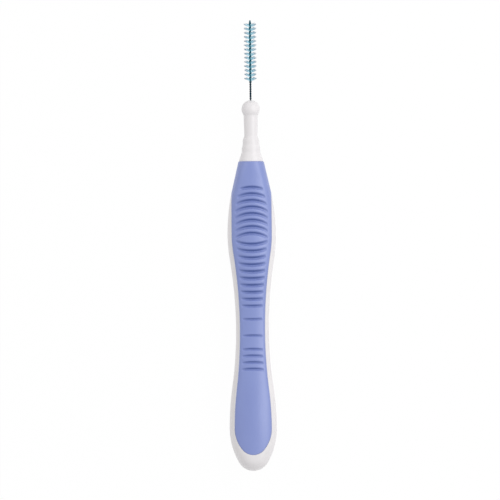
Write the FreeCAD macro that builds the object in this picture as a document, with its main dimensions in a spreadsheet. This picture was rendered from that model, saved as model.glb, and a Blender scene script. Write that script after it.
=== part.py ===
import FreeCAD, Part
import math
import os
import Sketcher
from FreeCAD import Placement, Rotation, Vector

# An interdental brush. A white moulded core makes the handle, neck and bulb; a soft grip is moulded
# over it; one coated wire, folded at the tip and twisted on itself, is rooted in the neck and holds
# nylon filaments between its two legs.
#
# The construction runs along +Y from the butt end at y = 0, with the front face towards +Z. The finished
# pieces are placed so that the brush lies on its back with its length centred on the origin.

SIZES = [
    ("palm_at", 9.0, "widest place of the palm swell, from the butt end"),
    ("palm_width", 9.95, "width of the palm swell"),
    ("butt_taper", 0.30, "how much smaller than the half width the butt end is rounded"),
    ("waist_at", 29.7, "narrowest place of the handle"),
    ("waist_width", 6.93, "width of the waist"),
    ("thumb_at", 49.9, "widest place of the thumb swell"),
    ("thumb_width", 10.2, "width of the thumb swell"),
    ("palm_radius", 60.0, "radius of the handle's outline from the palm swell towards the waist"),
    ("thumb_radius", 33.0, "radius of the handle's outline from the thumb swell towards the waist"),
    ("shoulder_share", 0.62, "part of the shoulder that is curved before it runs straight"),
    ("collar_at", 65.3, "top of the soft grip"),
    ("collar_width", 5.35, "width at the top of the soft grip"),
    ("palm_depth", 7.8, "front to back over the grip at the palm swell"),
    ("waist_depth", 6.2, "front to back over the grip at the waist"),
    ("rest_depth", 7.8, "front to back over the grip at the thumb rest"),
    ("collar_depth", 5.9, "front to back at the top of the soft grip"),
    ("end_depth", 6.4, "front to back where the grip's crowns run out below the butt end"),
    ("crown_reach", 1.2, "how far below the butt end that is"),
    ("crown_back", 3.5, "how far behind the axis the front crown is centred"),
    ("crown_blend", 12.0, "radius that blends the crowns over the swells and the waist"),
    ("rest_flat", 0.22, "how much of the back's crowns is taken off flat, so that the brush lies still"),
    ("rest_at", 48.96, "middle of the thumb rest, where the grip is deepest"),
    ("rest_length", 2.33, "plain thumb rest between the two groups of grooves"),
    ("wall_depth", 3.2, "upright part of the handle's sides, front to back"),
    ("bevel", 2.5, "slope from the upright sides to the front and back"),
    ("collar_round", 18.0, "angle at which the collar is rounded down to the neck"),
    ("butt_radius", 7.0, "radius of the crowns on the bare butt end"),
    ("butt_depth", 7.7, "front to back of the butt end at the palm swell"),
    ("butt_lean", 4.5, "angle at which the butt's crowns close in towards the end"),
    ("web_depth", 3.0, "thickness of the core's flat web under the grip"),
    ("rail_thumb", 0.87, "width of the bare core beside the grip at the thumb swell"),
    ("rail_waist", 0.82, "width of the bare core beside the grip at the waist"),
    ("rail_palm", 1.07, "width of the bare core beside the grip at the palm swell"),
    ("panel_palm_radius", 70.0, "radius of the grip's outline from the palm swell towards the waist"),
    ("panel_thumb_radius", 25.0, "radius of the grip's outline from the thumb swell towards the waist"),
    ("panel_margin", 3.3, "bare butt end below the grip"),
    ("panel_overrun", 1.0, "how far the straight top of the grip's outline runs on past the collar"),
    ("panel_taper", 0.16, "how much smaller than its half width the grip's lower end is rounded"),
    ("collar_sleeve", 10.0, "length of the grip that wraps the core all round"),
    ("tang_radius", 1.3, "core inside the wrapped collar"),
    ("foot_margin", 0.10, "rim of the grip left around the foot of the neck"),
    ("flare_length", 1.8, "flared foot of the neck"),
    ("land_radius", 1.94, "round land that a cap slides on"),
    ("land_length", 1.35, "length of the cap land"),
    ("land_step", 0.22, "step from the land to the stage above it"),
    ("stage_length", 1.35, "length of that stage"),
    ("step_length", 0.35, "axial length of each step of the neck"),
    ("neck_radius", 1.385, "neck just above the stage"),
    ("neck_length", 5.8, "neck from the stage to the centre of the bulb"),
    ("bulb_radius", 1.92, "radius of the bulb"),
    ("bulb_rise", 0.42, "how far the bulb overhangs the neck below it"),
    ("exit_radius", 0.45, "flat on the bulb where the wire leaves it"),
    ("groove_width", 0.70, "width of the grip's grooves on the centre line"),
    ("groove_depth", 0.32, "depth of the grooves on the centre line"),
    ("groove_sweep", 5.8, "radius on which each groove is swept"),
    ("groove_tilt", 60.0, "lean of the groove's plane, which arches it in the front view"),
    ("groove_span", 84.0, "angle over which each groove's cutter is swept"),
    ("thumb_pitch", 1.381, "spacing of the grooves above the thumb rest"),
    ("waist_pitch", 1.443, "spacing of the grooves below the thumb rest"),
    ("palm_pitch", 1.393, "spacing of the grooves below the waist"),
    ("waist_above", 2.31, "single groove above the waist, from the waist"),
    ("waist_below", 1.11, "single groove below the waist, from the waist"),
    ("palm_below", 3.97, "first of the grooves towards the palm, from the waist"),
    ("wire_diameter", 0.20, "one leg of the coated wire"),
    ("wire_slack", 0.015, "room between the legs, and around the filaments between them"),
    ("twist_pitch", 1.755, "one full turn of the wire among the filaments"),
    ("stem_pitch", 0.97, "one full turn of the bare stem, which is twisted tighter"),
    ("stem_length", 4.15, "bare stem between the bulb and the filaments"),
    ("root_depth", 3.2, "wire sunk in the neck"),
    ("tip_length", 0.50, "wire beyond the last filament"),
    ("brush_diameter", 2.55, "across the filament tips"),
    ("filament_width", 0.06, "thickness of one filament"),
    ("filament_rise", 0.22, "how far a filament's ends lean towards the tip of the brush"),
]

GROOVES_ABOVE_REST = 8
GROOVES_BELOW_REST = 10
GROOVES_BELOW_WAIST = 4
FILAMENT_ROWS = 14
FILAMENTS_PER_ROW = 9
WIRE_SIDES = 6
WIRE_STEPS = 10
FOLD_STEPS = 4
CUTTER_SCALE = 2

doc = FreeCAD.newDocument("interdental_brush")
sheet = doc.addObject("Spreadsheet::Sheet", "Sizes")
for number, (alias, default, note) in enumerate(SIZES, 1):
    sheet.set(f"A{number}", note)
    sheet.set(f"B{number}", str(default))
    sheet.setAlias(f"B{number}", alias)
doc.recompute()


class Size:
    """A size that carries both its value and the sheet expression it comes from."""

    def __init__(self, value, text):
        self.value = value
        self.text = text

    @staticmethod
    def of(other):
        return other if isinstance(other, Size) else Size(float(other), f"{float(other)}")

    def __add__(self, other):
        other = Size.of(other)
        return Size(self.value + other.value, f"({self.text} + {other.text})")

    def __sub__(self, other):
        other = Size.of(other)
        return Size(self.value - other.value, f"({self.text} - {other.text})")

    def __mul__(self, other):
        other = Size.of(other)
        return Size(self.value * other.value, f"({self.text} * {other.text})")

    def __truediv__(self, other):
        other = Size.of(other)
        return Size(self.value / other.value, f"({self.text} / {other.text})")


def size(alias):
    return Size(float(sheet.get(alias)), f"Sizes.{alias}")


def bind(thing, path, amount):
    """Give a property its value through the sheet."""
    thing.setExpression(path, amount.text)


def drive(sketch, kind, refs, label, amount):
    """Add a dimension to a sketch and bind it to the sheet."""
    index = sketch.addConstraint(Sketcher.Constraint(kind, *refs, amount.value))
    sketch.renameConstraint(index, label)
    sketch.setExpression(f"Constraints.{label}", amount.text)


def tie(sketch, kind, *refs):
    sketch.addConstraint(Sketcher.Constraint(kind, *refs))


def arc(centre, radius, start, end):
    """Arc of a circle, counter-clockwise from start to end."""
    first = math.atan2(start.y - centre.y, start.x - centre.x)
    last = math.atan2(end.y - centre.y, end.x - centre.x)
    if last <= first:
        last += 2 * math.pi
    return Part.ArcOfCircle(Part.Circle(centre, Vector(0, 0, 1), radius), first, last)


class Outline:
    """Half outline in tangent arcs: rounded end, palm swell, waist and thumb swell, then a top of its own."""

    def __init__(self, name, end_at, halves, taper, palm_radius, thumb_radius):
        palm, waist, thumb = halves
        self.name = name
        self.end_at = end_at
        self.palm = palm
        self.waist = waist
        self.thumb = thumb
        self.palm_radius = palm_radius
        self.thumb_radius = thumb_radius
        self.palm_at = size("palm_at")
        self.waist_at = size("waist_at")
        self.thumb_at = size("thumb_at")
        self.apex = Vector(0, end_at.value, 0)
        self.p = Vector(palm.value, self.palm_at.value, 0)
        self.w = Vector(waist.value, self.waist_at.value, 0)
        self.t = Vector(thumb.value, self.thumb_at.value, 0)
        reach = self.p.y - self.apex.y
        self.end_radius = palm * (Size.of(1) - taper)
        small = self.end_radius.value
        self.side_radius = (self.p.x ** 2 + reach ** 2 - 2 * reach * small) / (2 * (self.p.x - small))
        self.end_centre = self.apex + Vector(0, small, 0)
        self.side_centre = Vector(self.p.x - self.side_radius, self.p.y, 0)
        outward = self.end_centre - self.side_centre
        outward.normalize()
        self.end_join = self.end_centre + outward * small
        self.lower_join, self.lower_radius = self.bend(self.p, palm_radius.value)
        self.upper_join, self.upper_radius = self.bend(self.t, thumb_radius.value)

    def bend(self, swell, radius):
        """Where a swell's arc turns into the waist's arc, and the waist's radius."""
        along = self.w.y - swell.y
        across = swell.x - self.w.x
        both = (along ** 2 + across ** 2) / (2 * across)
        return swell + (self.w - swell) * (radius / both), both - radius

    def draw(self):
        """Sketch the outline from its rounded end up to the thumb swell."""
        sketch = doc.addObject("Sketcher::SketchObject", self.name)
        palm_radius = self.palm_radius.value
        thumb_radius = self.thumb_radius.value
        palm_centre = self.p - Vector(palm_radius, 0, 0)
        lower_centre = self.w + Vector(self.lower_radius, 0, 0)
        upper_centre = self.w + Vector(self.upper_radius, 0, 0)
        thumb_centre = self.t - Vector(thumb_radius, 0, 0)
        end = sketch.addGeometry(arc(self.end_centre, self.end_radius.value, self.apex, self.end_join))
        side = sketch.addGeometry(arc(self.side_centre, self.side_radius, self.end_join, self.p))
        palm = sketch.addGeometry(arc(palm_centre, palm_radius, self.p, self.lower_join))
        lower = sketch.addGeometry(arc(lower_centre, self.lower_radius, self.w, self.lower_join))
        upper = sketch.addGeometry(arc(upper_centre, self.upper_radius, self.upper_join, self.w))
        thumb = sketch.addGeometry(arc(thumb_centre, thumb_radius, self.upper_join, self.t))
        tie(sketch, "PointOnObject", end, 3, -2)
        tie(sketch, "Tangent", end, 2, side, 1)
        tie(sketch, "Coincident", side, 2, palm, 1)
        tie(sketch, "Tangent", palm, 2, lower, 2)
        tie(sketch, "Coincident", lower, 1, upper, 2)
        tie(sketch, "Tangent", upper, 1, thumb, 1)
        for curve, point in ((side, 2), (palm, 1), (lower, 1), (upper, 2), (thumb, 2)):
            tie(sketch, "Horizontal", curve, 3, curve, point)
        drive(sketch, "Radius", (end,), "end_radius", self.end_radius)
        drive(sketch, "Radius", (palm,), "palm_radius", self.palm_radius)
        drive(sketch, "Radius", (thumb,), "thumb_radius", self.thumb_radius)
        drive(sketch, "DistanceX", (-1, 1, side, 2), "palm_half", self.palm)
        drive(sketch, "DistanceY", (-1, 1, side, 2), "palm_along", self.palm_at)
        drive(sketch, "DistanceX", (-1, 1, lower, 1), "waist_half", self.waist)
        drive(sketch, "DistanceY", (-1, 1, lower, 1), "waist_along", self.waist_at)
        drive(sketch, "DistanceX", (-1, 1, thumb, 2), "thumb_half", self.thumb)
        drive(sketch, "DistanceY", (-1, 1, thumb, 2), "thumb_along", self.thumb_at)
        if self.end_at.value > 0:
            tie(sketch, "PointOnObject", end, 1, -2)
            drive(sketch, "DistanceY", (-1, 1, end, 1), "end_along", self.end_at)
        else:
            tie(sketch, "Coincident", end, 1, -1, 1)
        self.sketch = sketch
        self.first = end
        self.last = thumb

    def shoulder(self, top, top_at):
        """Run the outline on as an arc that turns into a straight taper, up to a half size at its top."""
        turn_at = self.thumb_at + (top_at - self.thumb_at) * size("shoulder_share")
        curved = turn_at.value - self.t.y
        straight = top_at.value - turn_at.value
        fall = self.t.x - top.value
        lean = fall / (curved / 2 + straight)
        for step in range(20):
            miss = curved * math.tan(lean / 2) + straight * math.tan(lean) - fall
            lean -= miss / (curved / 2 / math.cos(lean / 2) ** 2 + straight / math.cos(lean) ** 2)
        shoulder_radius = curved / math.sin(lean)
        self.corner = Vector(top.value, top_at.value, 0)
        centre = self.t - Vector(shoulder_radius, 0, 0)
        turn = centre + Vector(math.cos(lean), math.sin(lean), 0) * shoulder_radius
        curve = self.sketch.addGeometry(arc(centre, shoulder_radius, self.t, turn))
        taper = self.sketch.addGeometry(Part.LineSegment(turn, self.corner))
        tie(self.sketch, "Coincident", self.last, 2, curve, 1)
        tie(self.sketch, "Horizontal", curve, 3, curve, 1)
        tie(self.sketch, "Tangent", curve, 2, taper, 1)
        drive(self.sketch, "DistanceY", (-1, 1, curve, 2), "turn_along", turn_at)
        drive(self.sketch, "DistanceX", (-1, 1, taper, 2), "top_half", top)
        drive(self.sketch, "DistanceY", (-1, 1, taper, 2), "top_along", top_at)
        self.last = taper

    def straight(self, top_at):
        """Run the outline straight up from the thumb swell."""
        self.corner = Vector(self.t.x, top_at.value, 0)
        edge = self.sketch.addGeometry(Part.LineSegment(self.t, self.corner))
        tie(self.sketch, "Coincident", self.last, 2, edge, 1)
        tie(self.sketch, "Vertical", edge)
        drive(self.sketch, "DistanceY", (-1, 1, edge, 2), "top_along", top_at)
        self.last = edge

    def close(self):
        """Close the outline across its top and down the centre line."""
        top = Vector(0, self.corner.y, 0)
        across = self.sketch.addGeometry(Part.LineSegment(self.corner, top))
        down = self.sketch.addGeometry(Part.LineSegment(top, self.apex))
        tie(self.sketch, "Coincident", self.last, 2, across, 1)
        tie(self.sketch, "Coincident", across, 2, down, 1)
        tie(self.sketch, "Coincident", down, 2, self.first, 1)
        tie(self.sketch, "Horizontal", across)
        tie(self.sketch, "PointOnObject", across, 2, -2)


SWELLS = ("palm", "waist", "thumb")
half = {name: size(f"{name}_width") / 2 for name in SWELLS + ("collar",)}
collar_at = size("collar_at")

# Handle outline from the front.
outside = [half[name] for name in SWELLS]
radii = [size("palm_radius"), size("thumb_radius")]
handle = Outline("handle_outline", Size.of(0), outside, size("butt_taper"), *radii)
handle.draw()
handle.shoulder(half["collar"], collar_at)
handle.close()

# Grip outline from the side: straight tapers blended over the swells and the waist. Turned about a line
# behind the axis it crowns the grip's face.
crown_corners = [
    (size("end_depth") / 2, size("crown_reach") * -1),
    (size("palm_depth") / 2, size("palm_at")),
    (size("waist_depth") / 2, size("waist_at")),
    (size("rest_depth") / 2, size("rest_at")),
    (size("collar_depth") / 2, collar_at),
]


def crown_height(along):
    """Height of the grip's crown above the axis, before its corners are blended."""
    for (low, start), (high, end) in zip(crown_corners, crown_corners[1:]):
        if along <= end.value:
            return low.value + (high.value - low.value) * (along - start.value) / (end.value - start.value)
    return high.value


crown = doc.addObject("Sketcher::SketchObject", "crown_outline")
knots = [Vector(height.value, along.value, 0) for height, along in crown_corners]
blend_radius = size("crown_blend").value
tapers = []
blends = []
start = knots[0]
for number in range(1, 4):
    before = knots[number] - knots[number - 1]
    after = knots[number + 1] - knots[number]
    before.normalize()
    after.normalize()
    swing = before.x * after.y - before.y * after.x
    trim = blend_radius * abs(math.tan(math.asin(swing) / 2))
    first = knots[number] - before * trim
    last = knots[number] + after * trim
    inward = Vector(-before.y, before.x, 0) * math.copysign(blend_radius, swing)
    tapers.append(crown.addGeometry(Part.LineSegment(start, first)))
    ends = (first, last) if swing > 0 else (last, first)
    blends.append((crown.addGeometry(arc(first + inward, blend_radius, *ends)), swing > 0))
    start = last
tapers.append(crown.addGeometry(Part.LineSegment(start, knots[4])))
back_top = Vector(-size("crown_back").value, knots[4].y, 0)
back_end = Vector(-size("crown_back").value, knots[0].y, 0)
across = crown.addGeometry(Part.LineSegment(knots[4], back_top))
down = crown.addGeometry(Part.LineSegment(back_top, back_end))
home = crown.addGeometry(Part.LineSegment(back_end, knots[0]))
for number, (blend_arc, left_turn) in enumerate(blends):
    tie(crown, "Tangent", tapers[number], 2, blend_arc, 1 if left_turn else 2)
    tie(crown, "Tangent", blend_arc, 2 if left_turn else 1, tapers[number + 1], 1)
    drive(crown, "Radius", (blend_arc,), f"blend_{number + 1}", size("crown_blend"))
    corner = crown.addGeometry(Part.Point(knots[number + 1]), True)
    tie(crown, "PointOnObject", corner, 1, tapers[number])
    tie(crown, "PointOnObject", corner, 1, tapers[number + 1])
    height, along = crown_corners[number + 1]
    drive(crown, "DistanceX", (-1, 1, corner, 1), f"height_{number + 1}", height)
    drive(crown, "DistanceY", (-1, 1, corner, 1), f"along_{number + 1}", along)
tie(crown, "Coincident", tapers[3], 2, across, 1)
tie(crown, "Coincident", across, 2, down, 1)
tie(crown, "Coincident", down, 2, home, 1)
tie(crown, "Coincident", home, 2, tapers[0], 1)
tie(crown, "Horizontal", across)
tie(crown, "Vertical", down)
tie(crown, "Horizontal", home)
drive(crown, "DistanceX", (-1, 1, tapers[0], 1), "end_height", crown_corners[0][0])
drive(crown, "DistanceY", (tapers[0], 1, -1, 1), "reach", size("crown_reach"))
drive(crown, "DistanceX", (-1, 1, tapers[3], 2), "collar_height", crown_corners[4][0])
drive(crown, "DistanceY", (-1, 1, tapers[3], 2), "collar_along", collar_at)
drive(crown, "DistanceX", (down, 1, -1, 1), "back", size("crown_back"))

# Grip panel outline: the same family of arcs inside the bare rails, running straight up past the collar.
inside = [half[name] - size(f"rail_{name}") for name in SWELLS]
radii = [size("panel_palm_radius"), size("panel_thumb_radius")]
panel = Outline("panel_outline", size("panel_margin"), inside, size("panel_taper"), *radii)
panel.draw()
panel.straight(collar_at + size("panel_overrun"))
panel.close()


def revolve(name, sketch):
    solid = doc.addObject("Part::Revolution", name)
    solid.Source = sketch
    solid.Axis = Vector(0, 1, 0)
    solid.Angle = 360
    solid.Solid = True
    return solid


def mirror(name, source, normal):
    other = doc.addObject("Part::Mirroring", name)
    other.Source = source
    other.Normal = normal
    return other


def fuse(name, shapes):
    joined = doc.addObject("Part::MultiFuse", name)
    joined.Shapes = shapes
    joined.Refine = True
    return joined


def common(name, shapes):
    shared = doc.addObject("Part::MultiCommon", name)
    shared.Shapes = shapes
    return shared


def cut(name, base, tool):
    left = doc.addObject("Part::Cut", name)
    left.Base = base
    left.Tool = tool
    return left


# Rotation that lays a primitive's own Z axis along the brush.
ALONG = Rotation(Vector(1, 0, 0), -90)


def rod(name, radius, start, length):
    """Round bar along the brush axis."""
    bar = doc.addObject("Part::Cylinder", name)
    bar.Placement = Placement(Vector(0, start.value, 0), ALONG)
    bind(bar, "Radius", radius)
    bind(bar, "Height", length)
    bind(bar, "Placement.Base.y", start)
    return bar


def plate(name, sketch, depth):
    """Plate of a half outline and its mirror image, centred on the axis."""
    side = doc.addObject("Part::Extrusion", f"{name}_side")
    side.Base = sketch
    side.DirMode = "Normal"
    side.Solid = True
    side.Symmetric = True
    bind(side, "LengthFwd", depth)
    return fuse(name, [side, mirror(f"{name}_mirror", side, Vector(1, 0, 0))])


# Handle body: the outline as a plate, with its front and back edges sloped off all round but at the collar.
body_depth = size("wall_depth") + size("bevel") * 2
body_plate = plate("body_plate", handle.sketch, body_depth)
doc.recompute()
rim = []
for number, edge in enumerate(body_plate.Shape.Edges, 1):
    box = edge.BoundBox
    at_face = box.ZLength < 1e-6 and abs(abs(box.ZMin) - body_depth.value / 2) < 1e-6
    at_collar = box.YMin > collar_at.value - 1e-6
    if at_face and not at_collar:
        rim.append((number, size("bevel").value, size("bevel").value))
body = doc.addObject("Part::Chamfer", "body")
body.Base = body_plate
body.Edges = rim

# Crowns of the grip: the side outline turned about a line behind the axis, and its mirror image.
# The turn starts behind the axis, which keeps the seam off the crown.
crown_front = revolve("crown_front", crown)
bind(crown_front, "Base.x", size("crown_back") * -1)
about = Placement(Vector(0, 0, 0), Rotation(Vector(0, 1, 0), 180), Vector(-size("crown_back").value, 0, 0))
crown_front.Placement = Placement(Vector(0, 0, 0), Rotation(Vector(0, 1, 0), -90)).multiply(about)
crown_back = mirror("crown_back", crown_front, Vector(0, 0, 1))
collar_cone = doc.addObject("Part::Cone", "collar_cone")
collar_cone.Placement = Placement(Vector(0, 0, 0), ALONG)
collar_slope = math.tan(math.radians(size("collar_round").value))
collar_top = half["collar"] + size("foot_margin")
bind(collar_cone, "Radius1", collar_top + collar_at * collar_slope)
bind(collar_cone, "Radius2", collar_top)
bind(collar_cone, "Height", collar_at)

# The back's crowns are taken off flat where they stand highest.
flat_depth = size("palm_depth") / 2 - size("rest_flat")
flat_block = doc.addObject("Part::Box", "flat_block")
bind(flat_block, "Length", size("thumb_width") * 2)
bind(flat_block, "Width", collar_at * 2)
bind(flat_block, "Height", size("palm_depth") * 2)
bind(flat_block, "Placement.Base.x", size("thumb_width") * -1)
bind(flat_block, "Placement.Base.y", collar_at / -2)
bind(flat_block, "Placement.Base.z", flat_depth * -1)
grip_form = common("grip_form", [body, crown_front, crown_back, collar_cone, flat_block])

# Crowns of the bare butt end: two leaning rods, whose shared part the core keeps.
lean = math.radians(size("butt_lean").value)
sunk = size("butt_depth").value / 2 - size("butt_radius").value / math.cos(lean)
butt_front = doc.addObject("Part::Cylinder", "butt_front")
bind(butt_front, "Radius", size("butt_radius"))
bind(butt_front, "Height", collar_at * 2)
heading = Vector(0, math.cos(lean), math.sin(lean))
foot = Vector(0, size("palm_at").value, sunk) - heading * (collar_at.value / 2)
butt_front.Placement = Placement(foot, Rotation(Vector(0, 0, 1), heading))
butt_back = mirror("butt_back", butt_front, Vector(0, 0, 1))
core_form = common("core_form", [body, butt_front, butt_back])

panel_zone = plate("panel_zone", panel.sketch, size("thumb_width") * 2)

# Core: bare rails and butt, the web under the grip, the tang through the collar, then the neck.
bare_rails = cut("bare_rails", core_form, panel_zone)
web_top = collar_at - size("collar_sleeve")
web_box = doc.addObject("Part::Box", "web_box")
bind(web_box, "Length", size("thumb_width") * 2)
bind(web_box, "Width", web_top)
bind(web_box, "Height", size("web_depth"))
bind(web_box, "Placement.Base.x", size("thumb_width") * -1)
bind(web_box, "Placement.Base.z", size("web_depth") / -2)
web = common("web", [panel_zone, web_box])
tang_start = web_top - size("tang_radius")
tang = rod("tang", size("tang_radius"), tang_start, collar_at - tang_start + size("flare_length") / 2)

flare_top = collar_at + size("flare_length")
flare = doc.addObject("Part::Cone", "flare")
flare.Placement = Placement(Vector(0, collar_at.value, 0), ALONG)
bind(flare, "Radius1", half["collar"] - size("foot_margin"))
bind(flare, "Radius2", size("land_radius"))
bind(flare, "Height", size("flare_length"))
bind(flare, "Placement.Base.y", collar_at)

# Neck, turned about the axis: cap land, stage, tapering neck, and the bulb as part of a ball.
land_top = flare_top + size("land_length")
stage_foot = land_top + size("step_length")
stage_top = stage_foot + size("stage_length")
neck_foot = stage_top + size("step_length")
bulb_at = neck_foot + size("neck_length")
bulb = size("bulb_radius")
stage_radius = size("land_radius") - size("land_step")
neck_head = bulb - size("bulb_rise")
head_drop = math.sqrt(bulb.value ** 2 - neck_head.value ** 2)
exit_climb = math.sqrt(bulb.value ** 2 - size("exit_radius").value ** 2)
bulb_top = bulb_at.value + exit_climb
corners = [
    (Size.of(0), flare_top),
    (size("land_radius"), flare_top),
    (size("land_radius"), land_top),
    (stage_radius, stage_foot),
    (stage_radius, stage_top),
    (size("neck_radius"), neck_foot),
    (neck_head, bulb_at - head_drop),
]
neck_sketch = doc.addObject("Sketcher::SketchObject", "neck_outline")
points = [Vector(across.value, along.value, 0) for across, along in corners]
exit_corner = Vector(size("exit_radius").value, bulb_top, 0)
exit_centre = Vector(0, bulb_top, 0)
sides = []
for start, end in zip(points, points[1:]):
    sides.append(neck_sketch.addGeometry(Part.LineSegment(start, end)))
for lower, upper in zip(sides, sides[1:]):
    tie(neck_sketch, "Coincident", lower, 2, upper, 1)
ball = neck_sketch.addGeometry(arc(Vector(0, bulb_at.value, 0), bulb.value, points[-1], exit_corner))
lid = neck_sketch.addGeometry(Part.LineSegment(exit_corner, exit_centre))
spine = neck_sketch.addGeometry(Part.LineSegment(exit_centre, points[0]))
tie(neck_sketch, "Coincident", sides[-1], 2, ball, 1)
tie(neck_sketch, "Coincident", ball, 2, lid, 1)
tie(neck_sketch, "Coincident", lid, 2, spine, 1)
tie(neck_sketch, "Coincident", spine, 2, sides[0], 1)
tie(neck_sketch, "PointOnObject", ball, 3, -2)
tie(neck_sketch, "PointOnObject", lid, 2, -2)
tie(neck_sketch, "PointOnObject", sides[0], 1, -2)
tie(neck_sketch, "Horizontal", lid)
tie(neck_sketch, "Horizontal", sides[0])
tie(neck_sketch, "Vertical", sides[1])
tie(neck_sketch, "Vertical", sides[3])
drive(neck_sketch, "DistanceX", (-1, 1, sides[1], 1), "land_radius", size("land_radius"))
drive(neck_sketch, "DistanceY", (-1, 1, sides[1], 1), "flare_top", flare_top)
drive(neck_sketch, "DistanceY", (-1, 1, sides[1], 2), "land_top", land_top)
drive(neck_sketch, "DistanceX", (-1, 1, sides[3], 1), "stage_radius", stage_radius)
drive(neck_sketch, "DistanceY", (-1, 1, sides[3], 1), "stage_foot", stage_foot)
drive(neck_sketch, "DistanceY", (-1, 1, sides[3], 2), "stage_top", stage_top)
drive(neck_sketch, "DistanceX", (-1, 1, sides[4], 2), "neck_radius", size("neck_radius"))
drive(neck_sketch, "DistanceY", (-1, 1, sides[4], 2), "neck_foot", neck_foot)
drive(neck_sketch, "DistanceX", (-1, 1, ball, 1), "neck_head", neck_head)
drive(neck_sketch, "DistanceY", (-1, 1, ball, 3), "bulb_at", bulb_at)
drive(neck_sketch, "Radius", (ball,), "bulb_radius", bulb)
drive(neck_sketch, "DistanceX", (-1, 1, lid, 1), "exit_radius", size("exit_radius"))
neck = revolve("neck", neck_sketch)

inner_core = fuse("inner_core", [web, tang])
core_blank = fuse("core_blank", [bare_rails, inner_core, flare, neck])
wire_radius = size("wire_diameter") / 2
stem_offset = wire_radius + size("wire_slack") / 2
bore_radius = stem_offset + wire_radius + size("wire_slack")
bore_floor = bulb_at + exit_climb - size("root_depth")
wire_bore = rod("wire_bore", bore_radius, bore_floor, size("root_depth") + bulb)
handle_core = cut("handle_core", core_blank, wire_bore)


# Groove cutter: a V section swept on a leaning circle, so that it arches in the front view and runs out of
# the surface at both ends. The V is drawn larger than the groove, so that its mouth clears the surface, and
# with its bottom at the origin, about which it is turned for each groove.
tilt = math.radians(size("groove_tilt").value)
rise = Vector(math.cos(tilt), -math.sin(tilt), 0)
spread = Vector(math.sin(tilt), math.cos(tilt), 0)
bottom = Vector(size("groove_sweep").value, 0, 0)
mouth = rise * (CUTTER_SCALE * size("groove_depth").value)
lip = spread * (CUTTER_SCALE * size("groove_width").value / 2)
groove_sketch = doc.addObject("Sketcher::SketchObject", "groove_section")
vee = [bottom, bottom + mouth - lip, bottom + mouth + lip]
for number in range(3):
    groove_sketch.addGeometry(Part.LineSegment(vee[number], vee[(number + 1) % 3]))
for number in range(3):
    tie(groove_sketch, "Coincident", number, 2, (number + 1) % 3, 1)
tie(groove_sketch, "PointOnObject", 0, 1, -1)
drive(groove_sketch, "DistanceX", (-1, 1, 0, 1), "sweep", size("groove_sweep"))
tie(groove_sketch, "Equal", 0, 2)
drive(groove_sketch, "Distance", (1,), "mouth", size("groove_width") * CUTTER_SCALE)
drive(groove_sketch, "Distance", (0, 1, 1), "depth", size("groove_depth") * CUTTER_SCALE)
drive(groove_sketch, "Angle", (1,), "lean", Size.of(90) - size("groove_tilt"))
cutter = revolve("groove_cutter", groove_sketch)
bind(cutter, "Angle", size("groove_span"))
cutter.Symmetric = True
top = Vector(0, math.sin(tilt), math.cos(tilt))
flank = Vector(0, math.cos(tilt), -math.sin(tilt))
cutter.Placement = Placement(top * -size("groove_sweep").value, Rotation(top, flank, top.cross(flank), "XYZ"))


def groove(name, along, arch):
    """Cutter for one groove in the front, arched towards the tip or the butt."""
    bottom = crown_height(along) - size("groove_depth").value
    copy = doc.addObject("Part::Compound", name)
    copy.Links = [cutter]
    copy.Placement = Placement(Vector(0, along, bottom), Rotation(Vector(0, 0, 1), 0 if arch > 0 else 180))
    return copy


places = []
rest_top = size("rest_at").value + size("rest_length").value / 2
rest_foot = rest_top - size("rest_length").value
for number in range(GROOVES_ABOVE_REST):
    places.append((rest_top + number * size("thumb_pitch").value, 1))
for number in range(GROOVES_BELOW_REST):
    places.append((rest_foot - number * size("waist_pitch").value, -1))
waist_at = size("waist_at").value
places.append((waist_at + size("waist_above").value, -1))
places.append((waist_at - size("waist_below").value, 1))
for number in range(GROOVES_BELOW_WAIST):
    places.append((waist_at - size("palm_below").value - number * size("palm_pitch").value, 1))
rings = []
for number, (along, arch) in enumerate(places, 1):
    rings.append(groove(f"groove_{number:02d}", along, arch))
grooves = doc.addObject("Part::Compound", "grooves")
grooves.Links = rings

grip_blank = common("grip_blank", [grip_form, panel_zone])
grip_plain = cut("grip_plain", grip_blank, inner_core)
soft_grip = cut("soft_grip", grip_plain, grooves)


# Twist of the wire. It starts at the root, falls from the tight bare stem to the wider turns among the
# filaments, and dies out at the tip, where the wire is folded.
filament_room = size("filament_width").value + 2 * size("wire_slack").value
wide_offset = wire_radius.value + filament_room / 2
row_pitch = size("twist_pitch").value / 2
root_at = bulb_top - size("root_depth").value
brush_foot = bulb_top + size("stem_length").value
brush_head = brush_foot + FILAMENT_ROWS * row_pitch
tip_at = brush_head + size("tip_length").value
fold_at = tip_at - wire_radius.value - wide_offset
blend = row_pitch
stem_rate = 2 * math.pi / size("stem_pitch").value
brush_rate = 2 * math.pi / size("twist_pitch").value
RATES = [
    (root_at, 0.0),
    (root_at + blend, stem_rate),
    (brush_foot - blend, stem_rate),
    (brush_foot, brush_rate),
    (brush_head, brush_rate),
    (fold_at, 0.0),
]


def twist_rate(along):
    for (start, slow), (end, fast) in zip(RATES, RATES[1:]):
        if along <= end:
            return slow + (fast - slow) * (along - start) / (end - start)
    return 0.0


def twist(along):
    """Angle of the wire's first leg around the axis; filaments lie across it."""
    angle = 0.0
    for (start, slow), (end, fast) in zip(RATES, RATES[1:]):
        stop = min(max(along, start), end)
        here = slow + (fast - slow) * (stop - start) / (end - start)
        angle += (slow + here) / 2 * (stop - start)
    return angle


first_row_at = brush_foot + row_pitch / 2
phase = math.pi / 2 - twist(first_row_at)


def leg_offset(along):
    share = min(max((along - brush_foot + blend) / blend, 0.0), 1.0)
    share = share * share * (3 - 2 * share)
    return stem_offset.value + (wide_offset - stem_offset.value) * share


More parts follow.
